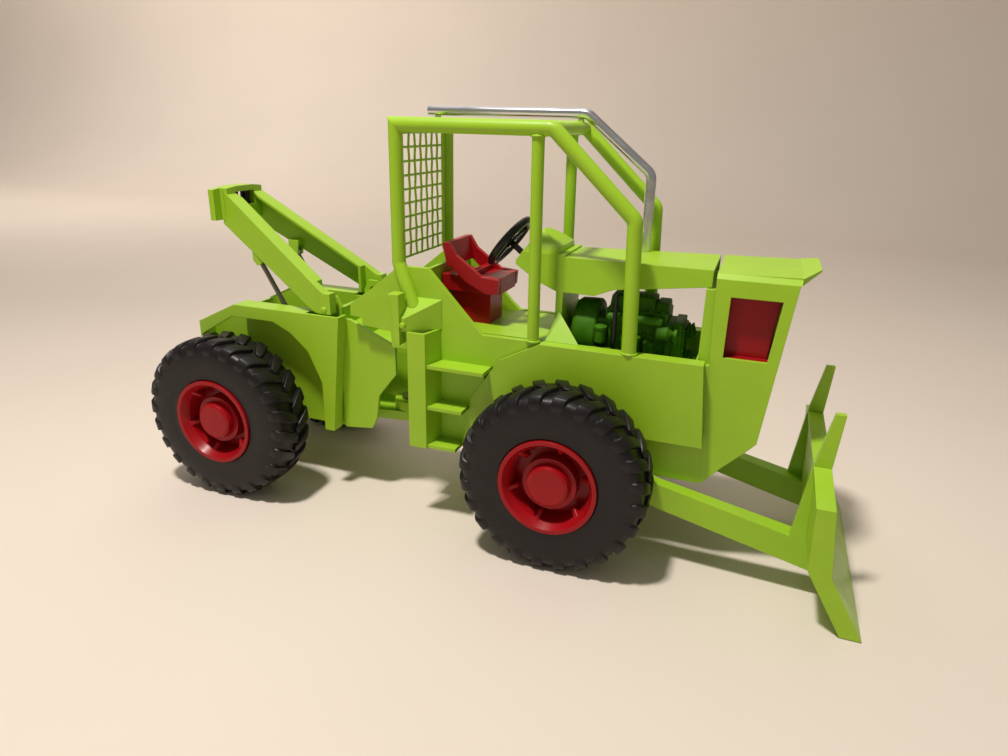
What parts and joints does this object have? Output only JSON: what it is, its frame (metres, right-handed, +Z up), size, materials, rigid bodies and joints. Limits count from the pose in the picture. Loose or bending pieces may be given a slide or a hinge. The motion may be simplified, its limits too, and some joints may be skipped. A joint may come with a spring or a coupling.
{
  "type": "toy articulated log skidder",
  "caption": "Scale model of an articulated log skidder with a mesh-backed roll cage, front push blade, rear lift arch and dished wheels that turn.",
  "frame": {"origin": "on the ground, under the middle of the model's length and width", "axes": "+X towards the blade, +Y to the machine's left, +Z up"},
  "size_m": [0.382, 0.1312, 0.2139],
  "materials": {
    "green_paint": "satin",
    "dark_green_paint": "satin",
    "red_gloss": "gloss",
    "tyre_rubber": "matte",
    "black_plastic": "matte",
    "polished_pipe": "polished",
    "bare_steel": "brushed"
  },
  "bodies": {
    "front_frame": {"blade_pins": "green_paint", "cab_floor": "green_paint", "cab_sides": "green_paint", "cab_steps": "green_paint", "cage_cross_tubes": "green_paint", "cage_sides": "green_paint", "cowl_gussets": "green_paint", "cylinder_head": "dark_green_paint", "dash_cowl": "green_paint", "engine_belt": "black_plastic", "engine_block": "dark_green_paint", "engine_front_cover": "dark_green_paint", "exhaust_pipe": "polished_pipe", "firewall": "green_paint", "front_axle": "green_paint", "front_chassis": "green_paint", "front_fenders": "green_paint", "front_hinge": "green_paint", "hinge_pins": "bare_steel", "hood": "green_paint", "radiator_bars": "green_paint", "radiator_core": "red_gloss", "radiator_frame": "green_paint", "radiator_housing": "green_paint", "rear_screen": "green_paint", "seat_back": "red_gloss", "seat_base": "red_gloss", "seat_bulkhead": "green_paint", "seat_cushion": "red_gloss", "steering_column": "black_plastic", "steering_wheel": "black_plastic", "step_shrouds": "green_paint"},
    "rear_frame": {"butt_plate": "green_paint", "rear_axle": "green_paint", "rear_corner_panels": "green_paint", "rear_fenders": "green_paint", "rear_hinge": "green_paint", "rear_trough": "green_paint", "winch_cheeks": "green_paint", "winch_drum": "bare_steel"},
    "arch": {"arch_arms": "green_paint", "arch_head": "green_paint", "arch_pins": "bare_steel", "arch_rod_lugs": "green_paint", "arch_rollers": "black_plastic"},
    "arch_barrels": {"arch_cylinders": "green_paint"},
    "arch_piston_rods": {"arch_rods": "bare_steel"},
    "dozer_blade": {"blade": "green_paint", "blade_arms": "green_paint", "blade_gussets": "green_paint", "blade_horns": "green_paint"},
    "wheel_front_left": {"rim_front_left": "red_gloss", "tyre_front_left": "tyre_rubber"},
    "wheel_front_right": {"rim_front_right": "red_gloss", "tyre_front_right": "tyre_rubber"},
    "wheel_rear_left": {"rim_rear_left": "red_gloss", "tyre_rear_left": "tyre_rubber"},
    "wheel_rear_right": {"rim_rear_right": "red_gloss", "tyre_rear_right": "tyre_rubber"}
  },
  "joints": [
    {"name": "articulation", "type": "hinge", "parent": "front_frame", "child": "rear_frame", "pos_m": [-0.0555, 0, 0.067], "axis": [0, 0, 1], "range_deg": [-32, 32]},
    {"name": "blade_lift", "type": "hinge", "parent": "front_frame", "child": "dozer_blade", "pos_m": [0.0665, 0, 0.047], "axis": [0, -1, 0], "range_deg": [0, 18]},
    {"name": "arch_lift", "type": "hinge", "parent": "rear_frame", "child": "arch", "pos_m": [-0.0905, 0, 0.1085], "axis": [0, 1, 0], "range_deg": [-8, 30]},
    {"name": "arch_barrel_pivot", "type": "hinge", "parent": "rear_frame", "child": "arch_barrels", "pos_m": [-0.1025, 0, 0.064], "axis": [0, 1, 0], "range_deg": [-5, 18]},
    {"name": "arch_rod_slide", "type": "slide", "parent": "arch_barrels", "child": "arch_piston_rods", "axis": [-0.5085, 0, 0.8611], "range_m": [-0.0044, 0.016]},
    {"name": "wheel_front_left_spin", "type": "hinge", "parent": "front_frame", "child": "wheel_front_left", "pos_m": [0.0485, 0.0513, 0.0465], "axis": [0, 1, 0], "continuous": true},
    {"name": "wheel_front_right_spin", "type": "hinge", "parent": "front_frame", "child": "wheel_front_right", "pos_m": [0.0485, -0.0513, 0.0465], "axis": [0, 1, 0], "continuous": true},
    {"name": "wheel_rear_left_spin", "type": "hinge", "parent": "rear_frame", "child": "wheel_rear_left", "pos_m": [-0.1445, 0.0513, 0.0465], "axis": [0, 1, 0], "continuous": true},
    {"name": "wheel_rear_right_spin", "type": "hinge", "parent": "rear_frame", "child": "wheel_rear_right", "pos_m": [-0.1445, -0.0513, 0.0465], "axis": [0, 1, 0], "continuous": true}
  ],
  "couplings": [
    {"joint": "arch_barrel_pivot", "follows": "arch_lift", "ratio": 0.56434},
    {"joint": "arch_rod_slide", "follows": "arch_lift", "m_per_rad": 0.029119}
  ]
}
